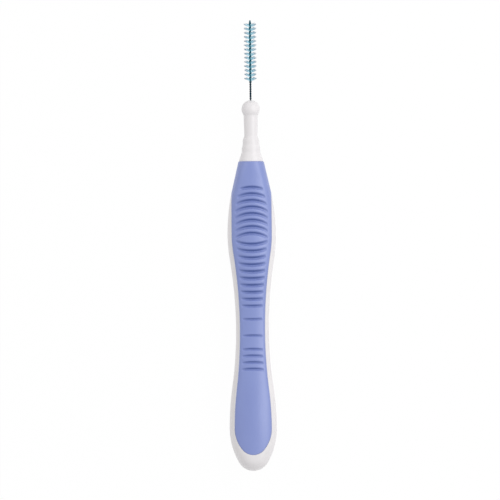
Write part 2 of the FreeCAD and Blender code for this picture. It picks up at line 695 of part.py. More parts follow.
def leg_point(along, side):
    angle = twist(along) + phase
    offset = side * leg_offset(along)
    return Vector(offset * math.cos(angle), along, offset * math.sin(angle))


def leg_heading(along, side):
    small = 1e-4
    heading = leg_point(along + small, side) - leg_point(along - small, side)
    heading.normalize()
    return heading


# Places along one leg, a fixed part of a turn apart.
stops = [root_at]
steps = math.ceil(twist(fold_at) / (2 * math.pi) * WIRE_STEPS)
for number in range(1, steps + 1):
    target = twist(fold_at) * number / steps
    low, high = stops[-1], fold_at
    for step in range(50):
        middle = (low + high) / 2
        if twist(middle) < target:
            low = middle
        else:
            high = middle
    stops.append(high if number < steps else fold_at)


# The wire's path: up one leg, over the fold, and down the other.
route = []
for along in stops:
    route.append((leg_point(along, 1), leg_heading(along, 1)))
fold_centre = Vector(0, fold_at, 0)
fold_side = leg_point(fold_at, 1) - fold_centre
fold_up = Vector(0, wide_offset, 0)
for number in range(1, FOLD_STEPS):
    around = math.pi * number / FOLD_STEPS
    heading = fold_up * math.cos(around) - fold_side * math.sin(around)
    heading.normalize()
    route.append((fold_centre + fold_side * math.cos(around) + fold_up * math.sin(around), heading))
for along in reversed(stops):
    route.append((leg_point(along, -1), leg_heading(along, -1) * -1))

# Sections across the path, each carried on from the one before without turning about the wire.
sections = []
upward = Vector(0, 0, 1)
for middle, heading in route:
    upward = upward - heading * upward.dot(heading)
    upward.normalize()
    level = heading.cross(upward)
    ring = []
    for number in range(WIRE_SIDES + 1):
        around = 2 * math.pi * number / WIRE_SIDES
        ring.append(middle + (level * math.cos(around) + upward * math.sin(around)) * wire_radius.value)
    sections.append(Part.makePolygon(ring))
twisted_wire = doc.addObject("Part::Feature", "twisted_wire")
twisted_wire.Shape = Part.makeLoft(sections, True, True)

# Filaments. Each passes between the legs at right angles to them, so the rows wind with the twist;
# both its ends lean a little towards the tip.
reach = size("brush_diameter").value / 2
thick = size("filament_width").value / 2
tip_rise = size("filament_rise").value


def filament(along):
    """One filament through the axis: a three-sided rod, bent at the wire."""
    angle = twist(along) + phase - math.pi / 2
    outward = Vector(math.cos(angle), 0, math.sin(angle))
    sideways = Vector(-math.sin(angle), 0, math.cos(angle))
    sections = []
    for end, lift in ((-reach, tip_rise), (0.0, 0.0), (reach, tip_rise)):
        middle = outward * end + Vector(0, along + lift, 0)
        corners = []
        for number in range(4):
            around = math.pi / 2 + 2 * math.pi * number / 3
            corner = sideways * math.cos(around) + Vector(0, 1, 0) * math.sin(around)
            corners.append(middle + corner * thick)
        sections.append(Part.makePolygon(corners))
    return Part.makeLoft(sections, True, True)


bristle_rows = []
for row in range(FILAMENT_ROWS):
    middle = brush_head - (row + 0.5) * row_pitch
    places = [(number + 0.5) / FILAMENTS_PER_ROW - 0.5 for number in range(FILAMENTS_PER_ROW)]
    bristles = doc.addObject("Part::Feature", f"bristle_row_{row + 1:02d}")
    bristles.Shape = Part.makeCompound([filament(middle + place * row_pitch) for place in places])
    bristle_rows.append(bristles)

# The brush lies on the flats of its back: half its length behind the origin, its axis above the floor.
rest = Placement(Vector(0, -tip_at / 2, flat_depth.value), Rotation())
nodes = [handle_core, soft_grip, twisted_wire] + bristle_rows
for node in nodes:
    node.Label = node.Name
    node.Placement = rest
doc.recompute()

for thing in doc.Objects:
    if "Invalid" in thing.State or "Error" in thing.State:
        raise RuntimeError(f"{thing.Name} did not build: {thing.State}")
os.makedirs("parts", exist_ok=True)
for node in nodes:
    if node.Shape.isNull() or not node.Shape.isValid():
        raise RuntimeError(f"{node.Label} is not a valid shape")
    node.Shape.exportStep(f"parts/{node.Label}.step")
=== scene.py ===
import math
import random

import bmesh
import bpy
import numpy as np
from bpy.props import FloatProperty, FloatVectorProperty, IntProperty, PointerProperty
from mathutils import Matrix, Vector


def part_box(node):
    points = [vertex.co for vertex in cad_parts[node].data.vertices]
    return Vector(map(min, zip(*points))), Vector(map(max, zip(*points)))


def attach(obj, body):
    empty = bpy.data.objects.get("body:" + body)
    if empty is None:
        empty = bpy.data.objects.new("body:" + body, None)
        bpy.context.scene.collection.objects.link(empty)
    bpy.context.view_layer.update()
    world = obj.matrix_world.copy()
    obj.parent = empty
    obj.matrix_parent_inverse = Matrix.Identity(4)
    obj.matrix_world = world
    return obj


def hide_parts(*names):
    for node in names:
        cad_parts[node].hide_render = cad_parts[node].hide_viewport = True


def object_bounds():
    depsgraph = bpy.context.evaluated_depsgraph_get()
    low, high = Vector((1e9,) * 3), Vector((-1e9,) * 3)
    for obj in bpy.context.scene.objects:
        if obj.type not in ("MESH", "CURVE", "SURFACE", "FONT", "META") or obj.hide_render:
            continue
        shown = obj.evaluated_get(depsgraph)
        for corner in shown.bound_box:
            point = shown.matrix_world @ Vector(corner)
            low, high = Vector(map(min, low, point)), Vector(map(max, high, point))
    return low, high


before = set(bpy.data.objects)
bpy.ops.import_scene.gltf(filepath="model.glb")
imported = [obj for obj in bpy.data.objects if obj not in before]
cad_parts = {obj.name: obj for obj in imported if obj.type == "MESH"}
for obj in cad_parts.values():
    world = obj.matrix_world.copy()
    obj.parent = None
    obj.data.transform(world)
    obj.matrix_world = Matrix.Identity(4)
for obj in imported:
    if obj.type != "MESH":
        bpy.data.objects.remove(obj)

bl_info = {
    "name": "Interdental brush",
    "version": (1, 0, 0),
    "blender": (4, 5, 0),
    "location": "3D View > Sidebar > Brush",
    "description": "Builds an interdental brush with a soft grip around its packed frame",
    "category": "Object",
}

CAD_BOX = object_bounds()
MM = 0.001
WELD = 1e-6  # points closer together than this are one point
BODY = "root"
WHITE = (1.0, 1.0, 1.0, 1.0)

# The brush's own measure runs along Y from the butt end, about the axis of the wire and the neck.
BUTT_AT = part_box("handle_core")[0][1]
AXIS_AT = (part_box("handle_core")[0][2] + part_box("handle_core")[1][2]) / 2
BACK_AT = AXIS_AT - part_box("soft_grip")[0][2]
CENTRE_AT = (CAD_BOX[0][1] + CAD_BOX[1][1]) / 2
BRISTLE_ROWS = sorted(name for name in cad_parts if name.startswith("bristle_row_"))

# How the grooves change along the grip. A groove between two of these places takes values between theirs.
GROOVE_FORM = (
    # place from the butt end (mm), arch as part of the sweep, reach to each side (mm), part of the width
    (20.0, 0.50, 2.35, 0.85),
    (28.7, 0.30, 2.10, 0.70),
    (32.0, -0.10, 2.10, 0.70),
    (34.0, -0.15, 2.20, 0.80),
    (38.0, -0.28, 2.40, 0.95),
    (41.0, -0.42, 2.75, 1.00),
    (45.0, -0.60, 2.95, 1.00),
    (48.0, -0.70, 3.40, 1.00),
    (49.8, 1.00, 3.40, 1.00),
    (56.0, 1.00, 3.50, 1.00),
    (58.5, 0.90, 2.90, 1.00),
    (60.0, 0.80, 2.35, 0.95),
)

# How far the lines of the handle's form run on past the collar.
PANEL_BEYOND, TAPER_BEYOND, CROWN_BEYOND = 2 * MM, 3 * MM, 10 * MM

# Points on the outlines, and samples over which the crowns are blended.
ARC_STEPS, CURVE_STEPS, BLEND_SAMPLES = 40, 60, 33

# Rows of the bare core along a rail and round half of the butt end, and columns from its outer edge to
# its inner one, closer together at both edges.
RAIL_ROWS, BUTT_ROWS = 150, 56
RAIL_COLUMNS = np.array((*(np.linspace(0.0, 0.9, 11) ** 2), 0.87, 0.92, 0.96, 0.985, 1.0))

# Rows of the grip, closest together between the places where its grooves begin and end.
GROOVED_FROM, GROOVED_TO = 19 * MM, 61.5 * MM
GROOVED_STEP, PLAIN_STEP = 0.1 * MM, 0.25 * MM
COLLAR_ROWS, RIM_ROWS, GRIP_COLUMNS = 18, 7, 65

# Points on each rounded corner of the neck, round the neck, and on the ball of its bulb.
CORNER_STEPS, NECK_SIDES, BALL_STEPS = 6, 72, 40

# Places at which the twist is added up, points on one turn of the wire and on its fold, sides of the wire.
TWIST_PLACES, TURN_STEPS, FOLD_STEPS, WIRE_SIDES = 6000, 18, 12, 12

# Points along a filament, its sides, and the part of its width that its trimmed ends keep.
FILAMENT_STEPS, FILAMENT_SIDES, FILAMENT_END = 11, 5, 0.55

# Small differences between filaments: turn about the wire (radians), part cut off, bow, and part of the
# rise, which grows outward by a power.
TURN_SPREAD, TRIM_SPREAD, BOW_SPREAD = 0.05, 0.025, 0.035 * MM
RISE_LEAST, RISE_MOST, RISE_POWER = 0.75, 1.25, 1.4

# Name, place and diameter of each lamp (metres), and the setting that gives its power.
LAMPS = (
    ("key_lamp", (0.25, 0.26, 0.27), 0.26, "key_power"),
    ("sheen_lamp", (0.26, 0.0, 0.32), 0.2, "sheen_power"),
    ("left_lamp", (-0.25, 0.24, 0.3), 0.26, "left_power"),
)


def length(name, millimetres, description):
    return FloatProperty(
        name=name, description=description, default=millimetres * MM, unit="LENGTH", precision=5
    )


def share(name, amount, description):
    return FloatProperty(name=name, description=description, default=amount, subtype="FACTOR")


def angle(name, degrees, description):
    return FloatProperty(name=name, description=description, default=math.radians(degrees), unit="ROTATION")


def power(name, watts, description):
    return FloatProperty(name=name, description=description, default=watts, unit="POWER")


def count(name, number, description):
    return IntProperty(name=name, description=description, default=number)


def linear(level):
    """Light given by one sRGB level from 0 to 255."""
    level /= 255
    return level / 12.92 if level <= 0.04045 else ((level + 0.055) / 1.055) ** 2.4


def colour(name, levels, description):
    return FloatVectorProperty(
        name=name,
        description=description,
        default=[linear(level) for level in levels],
        subtype="COLOR",
        min=0.0,
        max=1.0,
    )


class HandleSizes(bpy.types.PropertyGroup):
    """Form of the handle, which the bare core and the grip share"""

    palm_at: length("Palm place", 9.0, "Widest place of the palm swell, from the butt end")
    palm_width: length("Palm width", 9.95, "Width of the palm swell")
    butt_taper: share("Butt taper", 0.30, "How much smaller than the half width the butt end is rounded")
    waist_at: length("Waist place", 29.7, "Narrowest place of the handle")
    waist_width: length("Waist width", 6.93, "Width of the waist")
    thumb_at: length("Thumb place", 49.9, "Widest place of the thumb swell")
    thumb_width: length("Thumb width", 10.2, "Width of the thumb swell")
    palm_radius: length("Palm radius", 60.0, "Radius of the outline from the palm swell towards the waist")
    thumb_radius: length("Thumb radius", 33.0, "Radius of the outline from the thumb swell towards the waist")
    shoulder_share: share("Shoulder", 0.62, "Part of the shoulder that is curved before it runs straight")
    collar_at: length("Collar place", 65.3, "Top of the soft grip")
    collar_width: length("Collar width", 5.35, "Width at the top of the soft grip")
    palm_depth: length("Palm depth", 7.98, "Front to back at the palm swell, before it is blended")
    waist_depth: length("Waist depth", 6.1, "Front to back at the waist, before it is blended")
    rest_depth: length("Rest depth", 7.98, "Front to back at the thumb rest, before it is blended")
    rest_at: length("Rest place", 48.96, "Middle of the thumb rest, where the grip is deepest")
    collar_depth: length("Collar depth", 5.9, "Front to back at the top of the soft grip")
    end_depth: length("End depth", 6.4, "Front to back where the crowns run out below the butt end")
    crown_reach: length("Crown reach", 1.2, "How far below the butt end that is")
    crown_blend: length("Crown blend", 4.0, "Reach over which the crowns are blended")
    crown_back: length("Crown back", 3.5, "How far behind the axis the front crown is centred")
    side_height: length("Side height", 4.6, "Height at which the rounded sides run level")
    side_reach: length("Side reach", 4.8, "Width over which the sides are rounded")
    soften: length("Soften", 0.5, "How softly the sides run into the crowns")
    collar_round: angle("Collar round", 18.0, "Slope at which the collar is rounded down to the neck")
    collar_spare: length("Collar spare", 0.1, "How much larger than its half width the collar is rounded")
    rail_edge: length("Rail edge", 0.07, "Radius of the bare core's edge beside the grip")


class GripSizes(bpy.types.PropertyGroup):
    """Soft grip and its grooves"""

    rail_thumb: length("Thumb rail", 0.87, "Width of the bare core beside the grip at the thumb swell")
    rail_waist: length("Waist rail", 0.82, "Width of the bare core beside the grip at the waist")
    rail_palm: length("Palm rail", 1.07, "Width of the bare core beside the grip at the palm swell")
    palm_radius: length("Palm radius", 70.0, "Radius of the grip's outline from palm swell to waist")
    thumb_radius: length("Thumb radius", 25.0, "Radius of the grip's outline from thumb swell to waist")
    panel_margin: length("Butt margin", 3.45, "Bare butt end below the grip")
    panel_taper: share("End taper", 0.24, "How much smaller than its half width the lower end is rounded")
    seam: length("Seam", 0.02, "Gap between the grip and the rails")
    roll: length("Rolled edge", 0.16, "Radius of the grip's edge along the rails")
    rim: length("Rim", 0.32, "Radius of the grip's upper edge at the collar")
    flat_edge: length("Flat edge", 0.12, "How softly the flats that the back lies on run into its crowns")
    proud: length("Proud", 0.04, "How far the grip stands over the rails")
    groove_depth: length("Groove depth", 0.46, "Depth of the grooves on the centre line")
    groove_width: length("Groove width", 1.0, "Width of the grooves")
    groove_sweep: length("Groove sweep", 5.8, "Radius on which each groove is swept")
    groove_tilt: angle("Groove tilt", 60.0, "Lean of a groove's plane, which arches it in the front view")
    rest_length: length("Rest length", 2.33, "Plain thumb rest between the two groups of grooves")
    thumb_pitch: length("Thumb pitch", 1.381, "Spacing of the grooves above the thumb rest")
    waist_pitch: length("Waist pitch", 1.443, "Spacing of the grooves below the thumb rest")
    palm_pitch: length("Palm pitch", 1.393, "Spacing of the grooves below the waist")
    waist_above: length("Waist above", 2.31, "Single groove above the waist, from the waist")
    waist_below: length("Waist below", 1.11, "Single groove below the waist, from the waist")
    palm_below: length("Palm below", 3.97, "First groove of the lower group, from the waist")
    groove_low: share("Groove low", 0.15, "Part of its width by which a groove is deepest below its middle")
    # Painted shade: where above a groove's middle and over how much of its width the rubber's colour is
    # darkened.
    painted_shade_shift: share("Groove dark", 0.16, "Part of its width by which a groove is darkest above its middle")
    painted_shade_share: share("Dark share", 0.84, "Part of a groove's width that is darkened")
    grooves_above: count("Grooves above", 8, "Grooves above the thumb rest")
    grooves_below: count("Grooves below", 10, "Grooves below the thumb rest")
    grooves_palm: count("Palm grooves", 4, "Grooves in the group below the waist")


class NeckSizes(bpy.types.PropertyGroup):
    """Neck and bulb above the grip"""

    foot_radius: length("Foot radius", 2.575, "Foot of the flare on the grip")
    flare_length: length("Flare length", 1.8, "Flared foot of the neck")
    land_radius: length("Land radius", 1.94, "Round land that a cap slides on")
    land_length: length("Land length", 1.1, "Length of the cap land")
    stage_radius: length("Stage radius", 1.72, "Stage above the land")
    stage_length: length("Stage length", 1.1, "Length of that stage")
    step_length: length("Step length", 0.6, "Length of each step of the neck")
    neck_radius: length("Neck radius", 1.385, "Neck just above the stage")
    neck_length: length("Neck length", 5.8, "Neck from the stage to the centre of the bulb")
    bulb_radius: length("Bulb radius", 1.92, "Radius of the bulb")
    bulb_rise: length("Bulb rise", 0.42, "How far the bulb overhangs the neck below it")
    exit_radius: length("Exit radius", 0.45, "Flat on the bulb where the wire leaves it")
    edge: length("Edge", 0.42, "Radius of the neck's edges")
    tang_radius: length("Tang radius", 1.3, "Part of the core inside the grip, below the flare")
    tang_length: length("Tang length", 2.0, "Length of that part below the collar")
    foot_sink: length("Foot sink", 0.05, "How far the foot of the flare is sunk in the grip")
    bore_spare: length("Bore spare", 0.015, "Room around the wire in its bore")
    bore_depth: length("Bore depth", 1.0, "Depth of the bore, as far as it can be seen")
    mouth_edge: length("Mouth edge", 0.05, "Radius of the edges of the bore's mouth, and how far it widens")


class BrushSizes(bpy.types.PropertyGroup):
    """Twisted wire and filaments"""

    wire_diameter: length("Wire diameter", 0.225, "One leg of the coated wire in the bare stem")
    wide_diameter: length("Brush wire diameter", 0.27, "One leg with its coat pressed wide by the filaments")
    stem_offset: length("Stem offset", 0.1125, "Middle of a leg from the axis in the bare stem")
    wide_offset: length("Brush offset", 0.135, "Middle of a leg from the axis among the filaments")
    twist_pitch: length("Twist pitch", 1.755, "One full turn of the wire among the filaments")
    stem_pitch: length("Stem pitch", 0.97, "One full turn of the bare stem")
    stem_length: length("Stem length", 4.15, "Bare stem between the bulb and the filaments")
    root_depth: length("Root depth", 3.2, "Wire sunk in the neck")
    tip_length: length("Tip length", 0.50, "Wire beyond the last filament")
    brush_diameter: length("Brush diameter", 2.68, "Across the filament tips")
    filament_width: length("Filament width", 0.058, "Thickness of one filament")
    filament_rise: length("Filament rise", 0.32, "How far the filaments' ends lean towards the tip")
    row_drop: length("Row drop", 0.25, "How far below the middle of a half turn its filaments leave the wire")
    row_share: share("Row share", 0.64, "Part of the wire's length that the rows of filaments take up")
    filaments: count("Filaments", 24, "Filaments in one row")
    seed: count("Seed", 7, "Start of the small differences between filaments")


class Finishes(bpy.types.PropertyGroup):
    """Colours of the brush"""

    core: colour("Core", (228, 225, 226), "Hard white plastic of the core")
    core_shade: colour("Core shade", (217, 214, 216), "Cloudier places of the white plastic")
    grip: colour("Grip", (123, 138, 196), "Soft grip")
    grip_shade: colour("Grip shade", (115, 130, 190), "Cloudier places of the soft grip")
    # Painted shade: the colour given to the upper walls of the grooves, darker than the rubber as if the
    # lamps above left them in shade.
    hollow: colour("Hollow", (62, 84, 150), "Soft grip where a groove is darkest")
    wire: colour("Wire", (10, 88, 104), "Coated wire among the filaments")
    stem: colour("Stem", (14, 46, 60), "Coated wire of the bare stem")
    # The nylon is white: Filament root is a painted reflection of the teal wire and painted light where the
    # filaments leave it, and Filament is painted grey shade at their ends.
    filament: colour("Filament", (158, 169, 182), "Nylon filaments at their ends")
    filament_root_reflection: colour("Filament root", (194, 241, 255), "Filaments where they leave the wire")
    floor: colour("Floor", (246, 246, 246), "Floor under the brush")


class StageSizes(bpy.types.PropertyGroup):
    """Camera, lamps and floor"""

    lens: FloatProperty(name="Lens", description="Focal length of the camera (mm)", default=500.0)
    field: length("Field", 105.5, "Width that the picture shows at the brush's axis")
    right: length("Right", 0.37, "How far right of the picture's middle the brush lies")
    up: length("Up", 0.95, "How far above the picture's middle the brush lies")
    roll: angle("Roll", 0.47, "How far the tip leans to the left in the picture")
    key_power: power("Key power", 0.42, "Lamp above on the right")
    sheen_power: power("Sheen power", 0.38, "Lamp on the right that puts the sheen on the grip")
    left_power: power("Left power", 0.17, "Lamp above on the left")
    fill: FloatProperty(name="Fill", description="Strength of the light from all round", default=0.73)
    whiteness: share("Whiteness", 0.975, "Part of the floor that is seen as plain white")


class Value:
    """A number in a shader. Arithmetic on it adds Math nodes."""

    def __init__(self, finish, socket):
        self.finish = finish
        self.socket = socket

    def __add__(self, other):
        return self.finish.math("ADD", self, other)

    __radd__ = __add__

    def __sub__(self, other):
        return self.finish.math("SUBTRACT", self, other)

    def __rsub__(self, other):
        return self.finish.math("SUBTRACT", other, self)

    def __mul__(self, other):
        return self.finish.math("MULTIPLY", self, other)

    __rmul__ = __mul__

    def __truediv__(self, other):
        return self.finish.math("DIVIDE", self, other)

    def __rtruediv__(self, other):
        return self.finish.math("DIVIDE", other, self)

    def __pow__(self, other):
        return self.finish.math("POWER", self, other)

    def __rpow__(self, other):
        return self.finish.math("POWER", other, self)

    def __abs__(self):
        return self.finish.math("ABSOLUTE", self)

    def held(self):
        """The value kept between 0 and 1."""
        return self.finish.math("MINIMUM", self.finish.math("MAXIMUM", self, 0.0), 1.0)


class Finish:
    """Nodes of one material or world."""

    def __init__(self, tree):
        self.tree = tree
        tree.nodes.clear()

    def node(self, kind, settings=None, sockets=None):
        """A node of a kind, with its settings first and then the values or links of its sockets."""
        made = self.tree.nodes.new(kind)
        for name, setting in (settings or {}).items():
            setattr(made, name, setting)
        for name, given in (sockets or {}).items():
            given = given.socket if isinstance(given, Value) else given
            if isinstance(given, bpy.types.NodeSocket):
                self.tree.links.new(given, made.inputs[name])
            else:
                made.inputs[name].default_value = given
        return made

    def math(self, operation, *values):
        made = self.node("ShaderNodeMath", {"operation": operation}, dict(enumerate(values)))
        return Value(self, made.outputs[0])

    def place(self):
        """Where a point is on the brush, in metres."""
        return self.node("ShaderNodeTexCoord").outputs["Object"]

    def coordinates(self):
        split = self.node("ShaderNodeSeparateXYZ", sockets={0: self.place()})
        return [Value(self, socket) for socket in split.outputs]

    def cloud(self, size, detail=2.0):
        """Soft random value from 0 to 1 with blobs of about that size."""
        made = self.node(
            "ShaderNodeTexNoise", sockets={"Vector": self.place(), "Scale": 1 / size, "Detail": detail}
        )
        return Value(self, made.outputs[0])

    def field(self, name):
        """A value stored on the mesh."""
        made = self.node("ShaderNodeAttribute", {"attribute_name": name})
        return Value(self, made.outputs["Fac"])

    def mix(self, factor, first, second):
        """A colour between two. Sockets of other types have the same names, so numbers stand for these."""
        made = self.node("ShaderNodeMix", {"data_type": "RGBA"}, {0: factor, 6: first, 7: second})
        return made.outputs[2]

    def bump(self, height, distance, strength):
        made = self.node(
            "ShaderNodeBump", sockets={"Strength": strength, "Distance": distance, "Height": height}
        )
        return made.outputs["Normal"]

    def surface(self, sockets):
        shader = self.node("ShaderNodeBsdfPrincipled", sockets=sockets)
        self.node("ShaderNodeOutputMaterial", sockets={"Surface": shader.outputs[0]})

    def seen(self):
        """1 for what the camera, a mirror or glass sees of a surface, and 0 for the light it gives."""
        path = self.node("ShaderNodeLightPath")
        names = ("Is Camera Ray", "Is Glossy Ray", "Is Transmission Ray")
        camera, glossy, through = (Value(self, path.outputs[name]) for name in names)
        return (camera + glossy + through).held()


def new_material(name):
    material = bpy.data.materials.new(name)
    material.use_nodes = True
    return material, Finish(material.node_tree)


def rgba(chosen):
    return (*chosen, 1.0)


def parting_line(finish):
    """1 on the moulding's parting line, in the plane between front and back."""
    half_width = 0.05 * MM
    height = finish.coordinates()[2]
    return (1 - abs(height - AXIS_AT) / half_width).held()


def core_plastic(colours):
    material, finish = new_material("core_plastic")
    cloud = finish.cloud(size=7 * MM)
    grain = finish.cloud(size=0.12 * MM, detail=3.0)
    finish.surface({
        "Base Color": finish.mix(cloud, rgba(colours.core), rgba(colours.core_shade)),
        "Roughness": 0.30 + 0.10 * cloud + 0.06 * grain,
        "Normal": finish.bump(0.35 * grain + parting_line(finish), distance=0.02 * MM, strength=0.6),
        "IOR": 1.49,
    })
    return material


def grip_rubber(colours):
    material, finish = new_material("grip_rubber")
    cloud = finish.cloud(size=5 * MM)
    grain = finish.cloud(size=0.16 * MM, detail=3.0)
    # Painted shade: the base colour is darkened towards the Hollow colour on the grooves' upper walls, by the
    # field stored on the mesh.
    hollow = finish.field("hollow")
    body = finish.mix(cloud, rgba(colours.grip), rgba(colours.grip_shade))
    finish.surface({
        "Base Color": finish.mix(hollow, body, rgba(colours.hollow)),
        "Roughness": 0.37 + 0.08 * grain + 0.12 * hollow,
        "Normal": finish.bump(grain, distance=0.03 * MM, strength=0.7),
        "Specular IOR Level": 1.0,
    })
    return material


def wire_coat(colours, stem_end):
    material, finish = new_material("coated_wire")
    blend = 1.2 * MM
    along = finish.coordinates()[1]
    brushed = ((along - stem_end) / blend + 0.5).held()
    cloud = finish.cloud(size=0.4 * MM)
    finish.surface({
        "Base Color": finish.mix(brushed, rgba(colours.stem), rgba(colours.wire)),
        "Roughness": 0.45 + 0.16 * cloud,
        "Normal": finish.bump(cloud, distance=0.01 * MM, strength=0.5),
        "Specular IOR Level": 0.25,
    })
    return material


def nylon(colours, reach):
    material, finish = new_material("filament_nylon")
    across, _, up = finish.coordinates()
    height = up - AXIS_AT
    out = ((across * across + height * height) ** 0.5 / reach).held()
    # Painted light on white nylon: painted reflection of the teal wire near the axis, turning to painted grey
    # shade towards the ends.
    painted_tip_shade = out ** 1.5
    cloud = finish.cloud(size=0.3 * MM)
    finish.surface({
        "Base Color": finish.mix(painted_tip_shade, rgba(colours.filament_root_reflection), rgba(colours.filament)),
        "Roughness": 0.34 + 0.14 * cloud,
    })
    return material


def placed(points):
    """Points of the brush's own measure in the frame of the CAD."""
    return np.asarray(points, float) + (0.0, BUTT_AT, AXIS_AT)


def strip(rows, columns):
    """Quads between rows of points that are each closed into a ring."""
    faces = []
    for near in range(0, (rows - 1) * columns, columns):
        far = near + columns
        for column in range(columns):
            after = (column + 1) % columns
            faces.append((near + column, near + after, far + after, far + column))
    return faces


def make_piece(name, points, faces, material, node, fields=None):
    """A welded, smooth piece that stands for a CAD node and rides with the brush."""
    mesh = bpy.data.meshes.new(name)
    mesh.from_pydata(placed(points).tolist(), [], faces)
    for field, values in (fields or {}).items():
        mesh.attributes.new(field, "FLOAT", "POINT").data.foreach_set("value", values)
    form = bmesh.new()
    form.from_mesh(mesh)
    bmesh.ops.remove_doubles(form, verts=form.verts, dist=WELD)
    bmesh.ops.dissolve_degenerate(form, edges=form.edges, dist=WELD)
    bmesh.ops.recalc_face_normals(form, faces=form.faces)
    form.to_mesh(mesh)
    form.free()
    if not mesh.polygons:
        raise RuntimeError(f"{name} has no faces")
    mesh.shade_smooth()
    mesh.materials.append(material)
    piece = bpy.data.objects.new(name, mesh)
    bpy.context.scene.collection.objects.link(piece)
    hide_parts(node)
    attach(piece, BODY)


def arc(centre, start, end, steps):
    """Points on the arc about a centre from start to end, the short way round."""
    centre, start, end = (np.array(point, float) for point in (centre, start, end))
    first = math.atan2(*(start - centre)[::-1])
    turn = math.remainder(math.atan2(*(end - centre)[::-1]) - first, 2 * math.pi)
    around = first + turn * np.linspace(0.0, 1.0, steps)
    radius = np.linalg.norm(start - centre)
    return centre + radius * np.column_stack((np.cos(around), np.sin(around)))


def swell_to_waist(swell, waist, radius):
    """Side of the handle from a swell to the waist, in two arcs that bend opposite ways."""
    along, across = waist[1] - swell[1], swell[0] - waist[0]
    both = (along ** 2 + across ** 2) / (2 * across)
    bend = swell + (waist - swell) * (radius / both)
    outer = arc(swell - (radius, 0.0), swell, bend, ARC_STEPS)
    inner = arc(waist + (both - radius, 0.0), bend, waist, CURVE_STEPS)
    return np.vstack((outer, inner[1:]))


def half_outline(sizes, end_at, halves, taper, radii):
    """Right half of an outline in tangent arcs, from its rounded end up to the thumb swell."""
    palm, waist, thumb = np.column_stack((halves, (sizes.palm_at, sizes.waist_at, sizes.thumb_at)))
    end_radius = palm[0] * (1 - taper)
    reach = sizes.palm_at - end_at
    side_radius = (palm[0] ** 2 + reach ** 2 - 2 * reach * end_radius) / (2 * (palm[0] - end_radius))
    end_centre = np.array((0.0, end_at + end_radius))
    side_centre = palm - (side_radius, 0.0)
    outward = (end_centre - side_centre) / np.linalg.norm(end_centre - side_centre)
    join = end_centre + outward * end_radius
    end = arc(end_centre, (0.0, end_at), join, ARC_STEPS)
    side = arc(side_centre, join, palm, ARC_STEPS)
    lower, upper = (swell_to_waist(swell, waist, radius) for swell, radius in zip((palm, thumb), radii))
    return np.vstack((end, side[1:], lower[1:], upper[::-1][1:]))


class HandleForm:
    """Outlines and heights of the handle, shared by the bare core and the grip."""

    def __init__(self, handle, grip):
        self.handle = handle
        self.grip = grip
        outside = [handle.palm_width / 2, handle.waist_width / 2, handle.thumb_width / 2]
        self.collar_half = handle.collar_width / 2
        radii = (handle.palm_radius, handle.thumb_radius)
        body = half_outline(handle, 0.0, outside, handle.butt_taper, radii)
        self.outline = np.vstack((body, self.shoulder(outside[2])))
        rails = (grip.rail_palm, grip.rail_waist, grip.rail_thumb)
        inside = [half - rail for half, rail in zip(outside, rails)]
        radii = (grip.palm_radius, grip.thumb_radius)
        panel = half_outline(handle, grip.panel_margin, inside, grip.panel_taper, radii)
        straight = (inside[2], handle.collar_at + PANEL_BEYOND)
        self.panel = np.vstack((panel, straight))
        self.rails_end = self.meeting(inside[2])
        knots = np.array([
            (-handle.crown_reach, handle.end_depth / 2),
            (handle.palm_at, handle.palm_depth / 2),
            (handle.waist_at, handle.waist_depth / 2),
            (handle.rest_at, handle.rest_depth / 2),
            (handle.collar_at, handle.collar_depth / 2),
        ])
        run = knots[-1] - knots[-2]
        self.knots = np.vstack((knots, knots[-1] + run / run[0] * CROWN_BEYOND))

    def shoulder(self, thumb):
        """From the thumb swell to the collar, as an arc that turns into a straight taper."""
        handle = self.handle
        rise = handle.collar_at - handle.thumb_at
        curved = rise * handle.shoulder_share
        straight = rise - curved
        fall = thumb - self.collar_half
        # The lean that ends at the collar's width has no formula, so a first guess is made better in steps.
        lean = fall / (curved / 2 + straight)
        for _ in range(20):
            miss = curved * math.tan(lean / 2) + straight * math.tan(lean) - fall
            lean -= miss / (curved / 2 / math.cos(lean / 2) ** 2 + straight / math.cos(lean) ** 2)
        radius = curved / math.sin(lean)
        start = np.array((thumb, handle.thumb_at))
        centre = start - (radius, 0.0)
        turn = centre + radius * np.array((math.cos(lean), math.sin(lean)))
        taper = np.array((-math.sin(lean), math.cos(lean)))
        beyond = np.array((self.collar_half, handle.collar_at)) + TAPER_BEYOND * taper
        return np.vstack((arc(centre, start, turn, CURVE_STEPS)[1:], beyond))

    def meeting(self, half):
        """Where the handle narrows to a half width above the thumb swell."""
        above = self.outline[self.outline[:, 1] >= self.handle.thumb_at]
        return float(np.interp(-half, -above[:, 0], above[:, 1]))

    def half_at(self, along):
        return np.interp(along, self.outline[:, 1], self.outline[:, 0])

    def panel_at(self, along):
        return np.interp(along, self.panel[:, 1], self.panel[:, 0])

    def crown_at(self, along):
        """Height of the crown on the centre line, blended over the swells and the waist."""
        reach = self.handle.crown_blend
        places, heights = self.knots.T
        shifts = np.linspace(-reach, reach, BLEND_SAMPLES)
        return np.mean([np.interp(along + shift, places, heights) for shift in shifts], axis=0)

    def height(self, across, along):
        """Height of the front above the axis."""
        handle = self.handle
        inward = distance(np.abs(across), along, self.outline)
        level = np.clip(inward / handle.side_reach, 0.0, 1.0)
        side = handle.side_height * np.sqrt(1 - (1 - level) ** 2)
        back = handle.crown_back
        crown = np.sqrt((self.crown_at(along) + back) ** 2 - across ** 2) - back
        below = handle.collar_at - along
        collar = self.collar_half + handle.collar_spare + below * math.tan(handle.collar_round)
        cone = np.sqrt(np.maximum(collar ** 2 - across ** 2, 0.0))
        return soft_least(soft_least(side, crown, handle.soften), cone, handle.soften)


def soft_least(one, other, soft):
    """The lesser of two heights, with the corner between them rounded."""
    part = np.clip(0.5 + 0.5 * (other - one) / soft, 0.0, 1.0)
    return other + (one - other) * part - soft * part * (1 - part)


